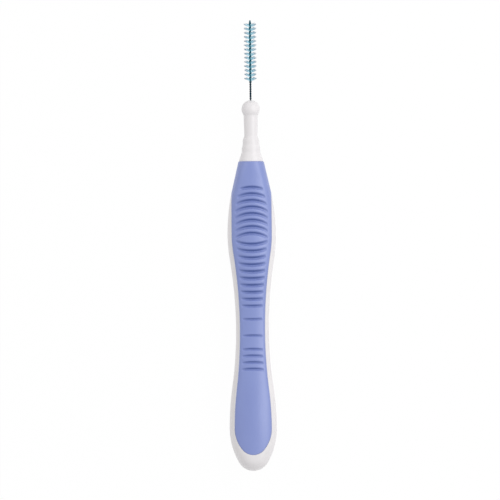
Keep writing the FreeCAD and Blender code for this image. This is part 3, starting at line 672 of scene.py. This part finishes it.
def distance(across, along, line):
    """Distance of points from a line of points, measured in blocks so that the arrays stay small."""
    block_size, least_square = 1500, 1e-18
    points = np.column_stack((np.ravel(across), np.ravel(along)))
    starts, steps = line[:-1], np.diff(line, axis=0)
    squares = np.maximum((steps ** 2).sum(axis=1), least_square)
    least = []
    for block in np.array_split(points, max(1, len(points) // block_size)):
        apart = block[:, None, :] - starts[None, :, :]
        part = np.clip((apart * steps).sum(axis=2) / squares, 0.0, 1.0)
        away = apart - part[:, :, None] * steps
        least.append(np.sqrt((away ** 2).sum(axis=2).min(axis=1)))
    return np.concatenate(least).reshape(np.shape(across))


def rolled(inward, radius):
    """How far an edge of a radius falls away at a distance inward from it."""
    near = np.clip(1 - inward / radius, 0.0, 1.0)
    return radius * (1 - np.sqrt(1 - near ** 2))


def core_rails(form):
    """Bare rails and butt end, from one rail's tip round the butt to the other's."""
    palm_at = form.handle.palm_at
    sides = np.linspace(form.rails_end, palm_at, RAIL_ROWS)[:-1]
    outer = [np.column_stack((form.half_at(sides), sides))]
    inner = [np.column_stack((form.panel_at(sides), sides))]
    for runs, line in ((outer, form.outline), (inner, form.panel)):
        butt = line[line[:, 1] <= palm_at + WELD][::-1]
        steps = np.concatenate(((0.0,), np.cumsum(np.linalg.norm(np.diff(butt, axis=0), axis=1))))
        stops = np.linspace(0.0, steps[-1], BUTT_ROWS)
        runs.append(np.column_stack([np.interp(stops, steps, butt[:, axis]) for axis in (0, 1)]))
    outer, inner = np.vstack(outer), np.vstack(inner)
    outer[-1, 0] = inner[-1, 0] = 0.0
    inner[0] = outer[0]
    outer, inner = (np.vstack((half, half[-2::-1] * (-1, 1))) for half in (outer, inner))
    plan = outer[:, None, :] + (inner - outer)[:, None, :] * RAIL_COLUMNS[None, :, None]
    across, along = plan[:, :, 0], plan[:, :, 1]
    edge = np.linalg.norm(plan - inner[:, None, :], axis=2)
    height = np.maximum(form.height(across, along) - rolled(edge, form.handle.rail_edge), 0.0)
    front = np.stack((across, along, height), axis=2)
    back = np.stack((across, along, -height), axis=2)[:, :0:-1]
    rings = np.concatenate((front, back), axis=1)
    return rings.reshape(-1, 3), strip(*rings.shape[:2])


def groove_places(handle, grip):
    """Place of each groove on the centre line, its arch, its reach to each side and its width."""
    top = handle.rest_at + grip.rest_length / 2
    foot = top - grip.rest_length
    places = [top + number * grip.thumb_pitch for number in range(grip.grooves_above)]
    places += [foot - number * grip.waist_pitch for number in range(grip.grooves_below)]
    places += [handle.waist_at + grip.waist_above, handle.waist_at - grip.waist_below]
    palm = handle.waist_at - grip.palm_below
    places += [palm - number * grip.palm_pitch for number in range(grip.grooves_palm)]
    stops, arches, reaches, widths = np.array(GROOVE_FORM).T
    arches, reaches, widths = (np.interp(places, stops * MM, row) for row in (arches, reaches, widths))
    return zip(places, arches, reaches * MM, widths * grip.groove_width)


def hollows(handle, grip, across, along):
    """Share of the full groove depth at each point of the grip's front, and share of its painted shade."""
    depth, shade = np.zeros_like(across), np.zeros_like(across)
    sweep = grip.groove_sweep
    drop = math.sin(grip.groove_tilt) * (sweep - np.sqrt(sweep ** 2 - across ** 2))
    for centre, arch, reach, width in groove_places(handle, grip):
        off = (along - (centre - arch * drop)) / width
        fade = np.sqrt(np.clip(1 - (across / reach) ** 2, 0.0, 1.0)) * width / grip.groove_width
        above = off + grip.groove_low
        wall = np.where(above > 0, above / (0.5 + grip.groove_low), above / (0.5 - grip.groove_low))
        # Painted shade: the darkest band lies above a groove's middle, on the upper wall that faces away from
        # the lamps above.
        dark = (off - grip.painted_shade_shift) / (grip.painted_shade_share / 2)
        for most, part in ((depth, wall), (shade, dark)):
            hump = 0.5 + 0.5 * np.cos(np.pi * np.clip(part, -1.0, 1.0))
            np.maximum(most, hump * fade, out=most)
    return depth, shade


def grip_rows(form):
    """Places of the grip's rows along the brush, up to its rim."""
    handle, grip = form.handle, form.grip
    end = form.panel[form.panel[:, 1] <= handle.palm_at + WELD][:, 1]
    plain = np.arange(handle.palm_at + PLAIN_STEP, GROOVED_FROM, PLAIN_STEP)
    grooved = np.arange(GROOVED_FROM, GROOVED_TO, GROOVED_STEP)
    top = np.linspace(GROOVED_TO, handle.collar_at - grip.rim, COLLAR_ROWS)
    return np.concatenate((end, plain, grooved, top))


def collar_rim(form, last):
    """Rings that round the grip's last ring over the rim and close it inside the collar."""
    rim, collar_at = form.grip.rim, form.handle.collar_at
    rings = []
    for turn in np.linspace(0.0, np.pi / 2, RIM_ROWS)[1:]:
        shrink = 1 - rim * (1 - math.cos(turn)) / form.collar_half
        rings.append(last * (shrink, 0.0, shrink) + (0.0, collar_at - rim + rim * math.sin(turn), 0.0))
    for shrink in (0.6, 0.0):
        rings.append(last * (shrink, 0.0, shrink) + (0.0, collar_at, 0.0))
    return np.array(rings)


def grip_skin(form):
    """The soft grip all round: grooved front, plain back with half the columns, and the wrapped collar."""
    handle, grip = form.handle, form.grip
    along = grip_rows(form)
    half = np.where(along < form.rails_end, form.panel_at(along) - grip.seam, form.half_at(along))
    half = np.maximum(half, 0.0)
    sweep = np.sin(np.linspace(-0.5, 0.5, GRIP_COLUMNS) * np.pi)
    across = half[:, None] * sweep[None, :]
    along = np.repeat(along[:, None], len(sweep), axis=1)
    inward = distance(np.abs(across), along, form.panel)
    height = form.height(across, along)
    height = np.where(along < form.rails_end, height + grip.proud - rolled(inward, grip.roll), height)
    height = np.maximum(height, 0.0)
    hollow, shade = hollows(handle, grip, across, along)
    front = np.stack((across, along, height - grip.groove_depth * hollow), axis=2)
    flat = soft_least(height, np.full_like(height, BACK_AT), grip.flat_edge)
    back = np.stack((across, along, -flat), axis=2)[:, ::-2]
    rings = np.concatenate((front, back), axis=1)
    rim = collar_rim(form, rings[-1])
    rings = np.concatenate((rings, rim))
    # Painted shade of the grooves, kept for the front columns only; the back and the collar have none.
    painted_shades = np.zeros(rings.shape[:2])
    painted_shades[:-len(rim), :GRIP_COLUMNS] = shade
    return rings.reshape(-1, 3), strip(*rings.shape[:2]), painted_shades.ravel()


def eased(corners, radius):
    """A line through corners, each rounded by about a radius, or by less where the sides are short."""
    shared = 2.2  # a side is shared by the roundings at both its ends
    corners = [np.array(corner, float) for corner in corners]
    line = [corners[0]]
    for before, corner, after in zip(corners, corners[1:], corners[2:]):
        sides = [before - corner, after - corner]
        spans = [np.linalg.norm(side) for side in sides]
        trim = min(radius, min(spans) / shared)
        first, last = (corner + side / span * trim for side, span in zip(sides, spans))
        for part in np.linspace(0.0, 1.0, CORNER_STEPS):
            line.append(first * (1 - part) ** 2 + corner * 2 * part * (1 - part) + last * part ** 2)
    line.append(corners[-1])
    return line


def neck_stations(handle, neck):
    """Where the parts of the neck start and where the bulb ends, from the butt end."""
    flare_top = handle.collar_at + neck.flare_length
    land_top = flare_top + neck.land_length
    stage_foot = land_top + neck.step_length
    stage_top = stage_foot + neck.stage_length
    neck_foot = stage_top + neck.step_length
    bulb_at = neck_foot + neck.neck_length
    bulb_top = bulb_at + math.sqrt(neck.bulb_radius ** 2 - neck.exit_radius ** 2)
    return flare_top, land_top, stage_foot, stage_top, neck_foot, bulb_at, bulb_top


def neck_turned(handle, neck, bore):
    """Flared foot, cap land, stage, neck and bulb, turned about the axis."""
    flare_top, land_top, stage_foot, stage_top, neck_foot, bulb_at, bulb_top = neck_stations(handle, neck)
    tang_foot = handle.collar_at - neck.tang_length
    flare_foot = handle.collar_at - neck.foot_sink
    head = neck.bulb_radius - neck.bulb_rise
    head_at = bulb_at - math.sqrt(neck.bulb_radius ** 2 - head ** 2)
    fall = neck.foot_radius - neck.land_radius
    # The flare rises steeply from its foot and runs out on the land; the neck draws in under the bulb.
    foot_corner = (neck.foot_radius - 0.08 * fall, handle.collar_at + 0.3 * MM)
    flare_corner = (neck.land_radius + 0.22 * fall, flare_top - 0.25 * MM)
    land_corner = (neck.land_radius, flare_top + 0.2 * MM)
    drawn_corner = (head - 0.012 * MM, head_at - 0.45 * MM)
    head_corner = (head + 0.015 * MM, head_at)
    mouth_corner = (bore + neck.mouth_edge, bulb_top - 0.02 * MM)
    bore_corner = (bore, bulb_top - 0.25 * MM)
    lower = eased(
        [
            (0.0, tang_foot),
            (neck.tang_radius, tang_foot),
            (neck.tang_radius, flare_foot),
            (neck.foot_radius, flare_foot),
            foot_corner,
            flare_corner,
            land_corner,
            (neck.land_radius, land_top),
            (neck.stage_radius, stage_foot),
            (neck.stage_radius, stage_top),
            (neck.neck_radius, neck_foot),
            drawn_corner,
            head_corner,
        ],
        neck.edge,
    )
    ball = arc((0.0, bulb_at), (head, head_at), (neck.exit_radius, bulb_top), BALL_STEPS)
    mouth = eased(
        [
            (neck.exit_radius, bulb_top),
            mouth_corner,
            bore_corner,
            (bore, bulb_top - neck.bore_depth),
            (0.0, bulb_top - neck.bore_depth),
        ],
        neck.mouth_edge,
    )
    line = np.vstack((lower, ball[1:], mouth[1:]))
    around = np.linspace(0.0, 2 * np.pi, NECK_SIDES + 1)[:-1]
    radius, along = line[:, :1], np.repeat(line[:, 1:], len(around), axis=1)
    rings = np.stack((radius * np.cos(around), along, radius * np.sin(around)), axis=2)
    return rings.reshape(-1, 3), strip(*rings.shape[:2])


class Twist:
    """Angle of the wire around the axis, from its root to its fold."""

    def __init__(self, brush, bulb_top):
        self.brush = brush
        self.row_pitch = brush.twist_pitch / 2
        self.root_at = bulb_top - brush.root_depth
        self.foot_at = bulb_top + brush.stem_length
        self.head_at = self.foot_at + len(BRISTLE_ROWS) * self.row_pitch
        tip_at = self.head_at + brush.tip_length
        self.fold_at = tip_at - brush.wide_diameter / 2 - brush.wide_offset
        stem_rate = 2 * math.pi / brush.stem_pitch
        brush_rate = 2 * math.pi / brush.twist_pitch
        stem_from, stem_to = self.root_at + self.row_pitch, self.foot_at - self.row_pitch
        stops = (self.root_at, stem_from, stem_to, self.foot_at, self.head_at, self.fold_at)
        rates = (0.0, stem_rate, stem_rate, brush_rate, brush_rate, 0.0)
        self.places = np.linspace(self.root_at, self.fold_at, TWIST_PLACES)
        rate = np.interp(self.places, stops, rates)
        turned = (rate[1:] + rate[:-1]) / 2 * np.diff(self.places)
        self.angles = np.concatenate(((0.0,), np.cumsum(turned)))
        self.phase = math.pi / 2 - self.at(self.row_at(len(BRISTLE_ROWS) - 1))

    def at(self, along):
        """Angle that the wire has turned through from its root."""
        return np.interp(along, self.places, self.angles)

    def row_at(self, number):
        """Middle of a row of filaments, counted from the tip."""
        return self.head_at - (number + 0.5) * self.row_pitch - self.brush.row_drop

    def widened(self, along, stem, wide):
        """A size that grows from the bare stem to the filaments."""
        level = np.clip((along - self.foot_at + self.row_pitch) / self.row_pitch, 0.0, 1.0)
        return stem + (wide - stem) * level * level * (3 - 2 * level)

    def leg(self, along, side):
        """Middle of one leg of the wire."""
        offset = side * self.widened(along, self.brush.stem_offset, self.brush.wide_offset)
        around = self.at(along) + self.phase
        return np.column_stack((offset * np.cos(around), along, offset * np.sin(around)))

    def route(self):
        """Up one leg, over the fold, and down the other."""
        turns = self.angles[-1] / (2 * math.pi)
        angles = np.linspace(0.0, self.angles[-1], int(turns * TURN_STEPS))
        along = np.interp(angles, self.angles, self.places)
        up, down = self.leg(along, 1), self.leg(along, -1)[::-1]
        middle = np.array((0.0, self.fold_at, 0.0))
        side = up[-1] - middle
        rise = np.array((0.0, np.linalg.norm(side), 0.0))
        bends = np.linspace(0.0, np.pi, FOLD_STEPS)[1:-1]
        fold = [middle + side * math.cos(bend) + rise * math.sin(bend) for bend in bends]
        return np.vstack((up, fold, down))


def tube(route, radii, sides):
    """Round tube along a route, closed at both ends; its sections are carried on without turning."""
    headings = np.gradient(route, axis=0)
    headings /= np.linalg.norm(headings, axis=1)[:, None]
    upward = np.array((0.31, 0.17, 0.93))  # a first direction that no route follows
    around = np.linspace(0.0, 2 * np.pi, sides + 1)[:-1]
    rings = []
    for middle, heading, radius in zip(route, headings, radii):
        upward = upward - heading * upward.dot(heading)
        upward /= np.linalg.norm(upward)
        level = np.cross(heading, upward)
        rings.append(middle + radius * (np.outer(np.cos(around), level) + np.outer(np.sin(around), upward)))
    faces = strip(len(route), sides)
    last = (len(route) - 1) * sides
    faces += [tuple(range(sides)), tuple(range(last, last + sides))]
    return np.vstack(rings), faces


def filament_row(twist, middle, draw):
    """One row of filaments, which pass between the legs across the twist and so wind with it."""
    brush = twist.brush
    points, faces = [], []
    reach = brush.brush_diameter / 2
    ends = np.linspace(-1.0, 1.0, FILAMENT_STEPS)
    out = np.abs(ends)
    radii = brush.filament_width / 2 * np.where(out == 1.0, FILAMENT_END, 1.0)
    for number in range(brush.filaments):
        place = middle + ((number + 0.5) / brush.filaments - 0.5) * brush.row_share * twist.row_pitch
        around = twist.at(place) + twist.phase - math.pi / 2 + draw.gauss(0.0, TURN_SPREAD)
        outward = np.array((math.cos(around), 0.0, math.sin(around)))
        sideways = np.array((-math.sin(around), 0.0, math.cos(around)))
        trims = [1 - abs(draw.gauss(0.0, TRIM_SPREAD)) for _ in range(2)]
        rises = [brush.filament_rise * draw.uniform(RISE_LEAST, RISE_MOST) for _ in range(2)]
        bows = [draw.gauss(0.0, BOW_SPREAD) for _ in range(2)]
        trim, rise, bow = (np.where(ends < 0, *pair) for pair in (trims, rises, bows))
        route = (
            np.outer(ends * trim * reach, outward)
            + np.outer(place + rise * out ** RISE_POWER, (0.0, 1.0, 0.0))
            + np.outer(bow * out ** 2, sideways)
        )
        made, quads = tube(route, radii, FILAMENT_SIDES)
        start = number * len(made)
        points.append(made)
        faces += [tuple(corner + start for corner in quad) for quad in quads]
    return np.vstack(points), faces


class BuildCore(bpy.types.Operator):
    """Build the hard white core: rails and butt end, neck and bulb"""

    bl_idname = "brush.build_core"
    bl_label = "Core"

    def execute(self, context):
        scene = context.scene
        neck, wire = scene.brush_neck, scene.brush_wire
        form = HandleForm(scene.brush_handle, scene.brush_grip)
        plastic = core_plastic(scene.brush_finishes)
        points, faces = core_rails(form)
        make_piece("core_rails", points, faces, plastic, "handle_core")
        bore = wire.stem_offset + wire.wire_diameter / 2 + neck.bore_spare
        points, faces = neck_turned(scene.brush_handle, neck, bore)
        make_piece("core_neck", points, faces, plastic, "handle_core")
        return {"FINISHED"}


class BuildGrip(bpy.types.Operator):
    """Build the soft grip with its grooves"""

    bl_idname = "brush.build_grip"
    bl_label = "Soft grip"

    def execute(self, context):
        scene = context.scene
        form = HandleForm(scene.brush_handle, scene.brush_grip)
        points, faces, shade = grip_skin(form)
        rubber = grip_rubber(scene.brush_finishes)
        # The grooves' painted shade goes on the mesh as a field that the rubber's colour reads.
        make_piece("grip_skin", points, faces, rubber, "soft_grip", {"hollow": shade})
        return {"FINISHED"}


class BuildWire(bpy.types.Operator):
    """Build the coated wire, folded at the tip and twisted on itself"""

    bl_idname = "brush.build_wire"
    bl_label = "Twisted wire"

    def execute(self, context):
        scene = context.scene
        brush = scene.brush_wire
        twist = Twist(brush, neck_stations(scene.brush_handle, scene.brush_neck)[-1])
        route = twist.route()
        radii = twist.widened(route[:, 1], brush.wire_diameter / 2, brush.wide_diameter / 2)
        points, faces = tube(route, radii, WIRE_SIDES)
        coat = wire_coat(scene.brush_finishes, BUTT_AT + twist.foot_at)
        make_piece("wire_coated", points, faces, coat, "twisted_wire")
        return {"FINISHED"}


class BuildFilaments(bpy.types.Operator):
    """Build the rows of nylon filaments"""

    bl_idname = "brush.build_filaments"
    bl_label = "Filaments"

    def execute(self, context):
        scene = context.scene
        brush = scene.brush_wire
        twist = Twist(brush, neck_stations(scene.brush_handle, scene.brush_neck)[-1])
        finish = nylon(scene.brush_finishes, brush.brush_diameter / 2)
        draw = random.Random(brush.seed)
        for number, node in enumerate(BRISTLE_ROWS):
            points, faces = filament_row(twist, twist.row_at(number), draw)
            make_piece(node.replace("bristle", "filament"), points, faces, finish, node)
        return {"FINISHED"}


def add_lamp(name, place, aim, size, energy):
    lamp = bpy.data.lights.new(name, "AREA")
    lamp.shape = "DISK"
    lamp.size = size
    lamp.energy = energy
    holder = bpy.data.objects.new(name, lamp)
    holder.location = place
    holder.rotation_euler = (Vector(aim) - Vector(place)).to_track_quat("-Z", "Y").to_euler()
    bpy.context.scene.collection.objects.link(holder)


def add_floor(colours, whiteness):
    """Paper that keeps the brush's shadow and is otherwise seen as white."""
    half, gap = 1.2, 0.05 * MM
    mesh = bpy.data.meshes.new("floor")
    corners = [(-half, -half, 0), (half, -half, 0), (half, half, 0), (-half, half, 0)]
    mesh.from_pydata(corners, [], [(0, 1, 2, 3)])
    material, finish = new_material("floor_paper")
    paper = finish.node("ShaderNodeBsdfDiffuse", sockets={"Color": rgba(colours.floor)})
    white = finish.node("ShaderNodeEmission", sockets={"Color": WHITE, "Strength": 1.0})
    mixed = finish.node(
        "ShaderNodeMixShader",
        sockets={0: finish.seen() * whiteness, 1: paper.outputs[0], 2: white.outputs[0]},
    )
    finish.node("ShaderNodeOutputMaterial", sockets={"Surface": mixed.outputs[0]})
    mesh.materials.append(material)
    floor = bpy.data.objects.new("floor", mesh)
    floor.location.z = CAD_BOX[0][2] - gap
    bpy.context.scene.collection.objects.link(floor)


def add_world(fill):
    """Even light from all round, which is seen as white."""
    world = bpy.data.worlds.new("studio")
    world.use_nodes = True
    finish = Finish(world.node_tree)
    soft = finish.node("ShaderNodeBackground", sockets={"Color": WHITE, "Strength": fill})
    white = finish.node("ShaderNodeBackground", sockets={"Color": WHITE, "Strength": 1.0})
    mixed = finish.node(
        "ShaderNodeMixShader", sockets={0: finish.seen(), 1: soft.outputs[0], 2: white.outputs[0]}
    )
    finish.node("ShaderNodeOutputWorld", sockets={"Surface": mixed.outputs[0]})
    bpy.context.scene.world = world


def add_camera(stage):
    """Camera straight above the brush, with the tip at the top of the picture."""
    lens = bpy.data.cameras.new("camera")
    lens.lens = stage.lens
    lens.sensor_width = 36.0
    camera = bpy.data.objects.new("camera", lens)
    away = stage.field * stage.lens / lens.sensor_width
    turn = -stage.roll
    right = Vector((math.cos(turn), math.sin(turn), 0.0))
    up = Vector((-math.sin(turn), math.cos(turn), 0.0))
    camera.location = Vector((0.0, CENTRE_AT, AXIS_AT + away)) - right * stage.right - up * stage.up
    camera.rotation_euler = (0.0, 0.0, turn)
    lens.clip_start = 10 * MM
    bpy.context.scene.collection.objects.link(camera)
    bpy.context.scene.camera = camera


class BuildStage(bpy.types.Operator):
    """Set up the floor, lamps and camera"""

    bl_idname = "brush.build_stage"
    bl_label = "Stage"

    def execute(self, context):
        scene = context.scene
        stage = scene.brush_stage
        scene.view_settings.view_transform = "Standard"
        add_floor(scene.brush_finishes, stage.whiteness)
        add_world(stage.fill)
        aim = (0.0, CENTRE_AT, AXIS_AT)
        for name, place, size, setting in LAMPS:
            add_lamp(name, place, aim, size, getattr(stage, setting))
        add_camera(stage)
        return {"FINISHED"}


class BrushPanel(bpy.types.Panel):
    """Sizes, colours and steps of the interdental brush"""

    bl_idname = "VIEW3D_PT_brush"
    bl_label = "Interdental brush"
    bl_space_type = "VIEW_3D"
    bl_region_type = "UI"
    bl_category = "Brush"

    def draw(self, context):
        for operator in OPERATORS:
            self.layout.operator(operator.bl_idname)
        for name, kind in GROUPS.items():
            box = self.layout.box()
            box.label(text=kind.__doc__)
            group = getattr(context.scene, name)
            for size in kind.__annotations__:
                box.prop(group, size)


GROUPS = {
    "brush_handle": HandleSizes,
    "brush_grip": GripSizes,
    "brush_neck": NeckSizes,
    "brush_wire": BrushSizes,
    "brush_finishes": Finishes,
    "brush_stage": StageSizes,
}
OPERATORS = (BuildCore, BuildGrip, BuildWire, BuildFilaments, BuildStage)


def register():
    for kind in (*GROUPS.values(), *OPERATORS, BrushPanel):
        bpy.utils.register_class(kind)
    for name, kind in GROUPS.items():
        setattr(bpy.types.Scene, name, PointerProperty(type=kind))


def unregister():
    for name in GROUPS:
        delattr(bpy.types.Scene, name)
    for kind in reversed((*GROUPS.values(), *OPERATORS, BrushPanel)):
        bpy.utils.unregister_class(kind)


def main():
    register()
    bpy.ops.brush.build_core()
    bpy.ops.brush.build_grip()
    bpy.ops.brush.build_wire()
    bpy.ops.brush.build_filaments()
    bpy.ops.brush.build_stage()


if __name__ == "__main__":
    main()
